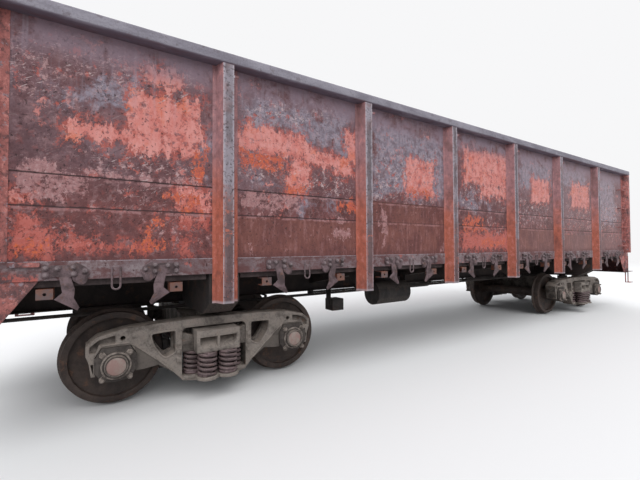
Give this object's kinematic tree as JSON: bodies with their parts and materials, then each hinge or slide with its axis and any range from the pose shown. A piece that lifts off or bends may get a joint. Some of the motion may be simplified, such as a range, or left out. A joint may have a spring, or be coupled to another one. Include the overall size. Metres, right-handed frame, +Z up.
{
  "type": "open wagon with floor hatches",
  "caption": "Open box wagon on two bogies, its flat floor made of drop hatches hinged along the centre sill, with ribbed side walls and claw couplers.",
  "frame": {"origin": "middle of the wagon, under the lowest points of the wheel flanges, which stand on the ground plane", "axes": "+X along the wagon, +Y across it, +Z up"},
  "size_m": [14.11, 3.14, 3.4769],
  "materials": {
    "wall_paint": "matt, weathered",
    "post_paint": "matt, weathered",
    "chord_paint": "matt, weathered",
    "sill_paint": "matt, dusty",
    "underframe_paint": "matt, dusty",
    "hatch_paint": "matt, dusty",
    "lock_steel": "matt, rusted",
    "coupler_steel": "matt, rusted",
    "brake_paint": "matt, dusty",
    "bogie_cast": "matt, dusty",
    "box_cast": "matt, greasy",
    "spring_steel": "matt, rusted",
    "wheel_steel": "rusted, bright on the tread"
  },
  "bodies": {
    "wagon_body": {"centre_sill": "underframe_paint", "bolster_beams": "underframe_paint", "cross_beams": "underframe_paint", "end_beams": "wall_paint", "side_walls": "wall_paint", "side_posts": "post_paint", "corner_posts": "post_paint", "top_chords": "chord_paint", "end_chords": "chord_paint", "end_walls": "wall_paint", "side_sills": "sill_paint", "corner_gussets": "post_paint", "hatch_hinges": "underframe_paint", "hatch_locks": "lock_steel", "lashing_loops": "lock_steel", "ladders": "post_paint", "corner_steps": "post_paint", "couplers": "coupler_steel", "uncoupling_rods": "lock_steel", "brake_cylinder": "brake_paint", "air_reservoir": "brake_paint", "air_distributor": "brake_paint", "brake_pipe": "brake_paint", "brake_rods": "brake_paint"},
    "hatch_left_1": {"hatch_left_1": "hatch_paint"},
    "hatch_left_2": {"hatch_left_2": "hatch_paint"},
    "hatch_left_3": {"hatch_left_3": "hatch_paint"},
    "hatch_left_4": {"hatch_left_4": "hatch_paint"},
    "hatch_left_5": {"hatch_left_5": "hatch_paint"},
    "hatch_left_6": {"hatch_left_6": "hatch_paint"},
    "hatch_left_7": {"hatch_left_7": "hatch_paint"},
    "hatch_right_1": {"hatch_right_1": "hatch_paint"},
    "hatch_right_2": {"hatch_right_2": "hatch_paint"},
    "hatch_right_3": {"hatch_right_3": "hatch_paint"},
    "hatch_right_4": {"hatch_right_4": "hatch_paint"},
    "hatch_right_5": {"hatch_right_5": "hatch_paint"},
    "hatch_right_6": {"hatch_right_6": "hatch_paint"},
    "hatch_right_7": {"hatch_right_7": "hatch_paint"},
    "bogie_front": {"side_frames_front": "bogie_cast", "bolster_front": "bogie_cast", "springs_front": "spring_steel", "wedges_front": "bogie_cast", "axle_boxes_front": "box_cast", "brake_beams_front": "brake_paint"},
    "wheelset_front_1": {"wheels_front_1": "wheel_steel", "axle_front_1": "wheel_steel"},
    "wheelset_front_2": {"wheels_front_2": "wheel_steel", "axle_front_2": "wheel_steel"},
    "bogie_rear": {"side_frames_rear": "bogie_cast", "bolster_rear": "bogie_cast", "springs_rear": "spring_steel", "wedges_rear": "bogie_cast", "axle_boxes_rear": "box_cast", "brake_beams_rear": "brake_paint"},
    "wheelset_rear_1": {"wheels_rear_1": "wheel_steel", "axle_rear_1": "wheel_steel"},
    "wheelset_rear_2": {"wheels_rear_2": "wheel_steel", "axle_rear_2": "wheel_steel"}
  },
  "joints": [
    {"name": "hatch_left_1_hinge", "type": "hinge", "parent": "wagon_body", "child": "hatch_left_1", "pos_m": [-5.27, -0.078, 1.345], "axis": [1, 0, 0], "range_deg": [0, 21]},
    {"name": "hatch_left_2_hinge", "type": "hinge", "parent": "wagon_body", "child": "hatch_left_2", "pos_m": [-3.38, -0.078, 1.345], "axis": [1, 0, 0], "range_deg": [0, 21]},
    {"name": "hatch_left_3_hinge", "type": "hinge", "parent": "wagon_body", "child": "hatch_left_3", "pos_m": [-1.69, -0.078, 1.345], "axis": [1, 0, 0], "range_deg": [0, 31]},
    {"name": "hatch_left_4_hinge", "type": "hinge", "parent": "wagon_body", "child": "hatch_left_4", "pos_m": [0, -0.078, 1.345], "axis": [1, 0, 0], "range_deg": [0, 31]},
    {"name": "hatch_left_5_hinge", "type": "hinge", "parent": "wagon_body", "child": "hatch_left_5", "pos_m": [1.69, -0.078, 1.345], "axis": [1, 0, 0], "range_deg": [0, 31]},
    {"name": "hatch_left_6_hinge", "type": "hinge", "parent": "wagon_body", "child": "hatch_left_6", "pos_m": [3.38, -0.078, 1.345], "axis": [1, 0, 0], "range_deg": [0, 21]},
    {"name": "hatch_left_7_hinge", "type": "hinge", "parent": "wagon_body", "child": "hatch_left_7", "pos_m": [5.27, -0.078, 1.345], "axis": [1, 0, 0], "range_deg": [0, 21]},
    {"name": "hatch_right_1_hinge", "type": "hinge", "parent": "wagon_body", "child": "hatch_right_1", "pos_m": [-5.27, 0.078, 1.345], "axis": [-1, 0, 0], "range_deg": [0, 21]},
    {"name": "hatch_right_2_hinge", "type": "hinge", "parent": "wagon_body", "child": "hatch_right_2", "pos_m": [-3.38, 0.078, 1.345], "axis": [-1, 0, 0], "range_deg": [0, 21]},
    {"name": "hatch_right_3_hinge", "type": "hinge", "parent": "wagon_body", "child": "hatch_right_3", "pos_m": [-1.69, 0.078, 1.345], "axis": [-1, 0, 0], "range_deg": [0, 31]},
    {"name": "hatch_right_4_hinge", "type": "hinge", "parent": "wagon_body", "child": "hatch_right_4", "pos_m": [0, 0.078, 1.345], "axis": [-1, 0, 0], "range_deg": [0, 31]},
    {"name": "hatch_right_5_hinge", "type": "hinge", "parent": "wagon_body", "child": "hatch_right_5", "pos_m": [1.69, 0.078, 1.345], "axis": [-1, 0, 0], "range_deg": [0, 31]},
    {"name": "hatch_right_6_hinge", "type": "hinge", "parent": "wagon_body", "child": "hatch_right_6", "pos_m": [3.38, 0.078, 1.345], "axis": [-1, 0, 0], "range_deg": [0, 21]},
    {"name": "hatch_right_7_hinge", "type": "hinge", "parent": "wagon_body", "child": "hatch_right_7", "pos_m": [5.27, 0.078, 1.345], "axis": [-1, 0, 0], "range_deg": [0, 21]},
    {"name": "bogie_front_swivel", "type": "hinge", "parent": "wagon_body", "child": "bogie_front", "pos_m": [-4.325, 0, 0.799], "axis": [0, 0, 1], "range_deg": [-4, 4]},
    {"name": "wheelset_front_1_spin", "type": "hinge", "parent": "bogie_front", "child": "wheelset_front_1", "pos_m": [-5.25, 0, 0.471], "axis": [0, 1, 0], "continuous": true},
    {"name": "wheelset_front_2_spin", "type": "hinge", "parent": "bogie_front", "child": "wheelset_front_2", "pos_m": [-3.4, 0, 0.471], "axis": [0, 1, 0], "continuous": true},
    {"name": "bogie_rear_swivel", "type": "hinge", "parent": "wagon_body", "child": "bogie_rear", "pos_m": [4.325, 0, 0.799], "axis": [0, 0, 1], "range_deg": [-4, 4]},
    {"name": "wheelset_rear_1_spin", "type": "hinge", "parent": "bogie_rear", "child": "wheelset_rear_1", "pos_m": [3.4, 0, 0.471], "axis": [0, 1, 0], "continuous": true},
    {"name": "wheelset_rear_2_spin", "type": "hinge", "parent": "bogie_rear", "child": "wheelset_rear_2", "pos_m": [5.25, 0, 0.471], "axis": [0, 1, 0], "continuous": true}
  ]
}
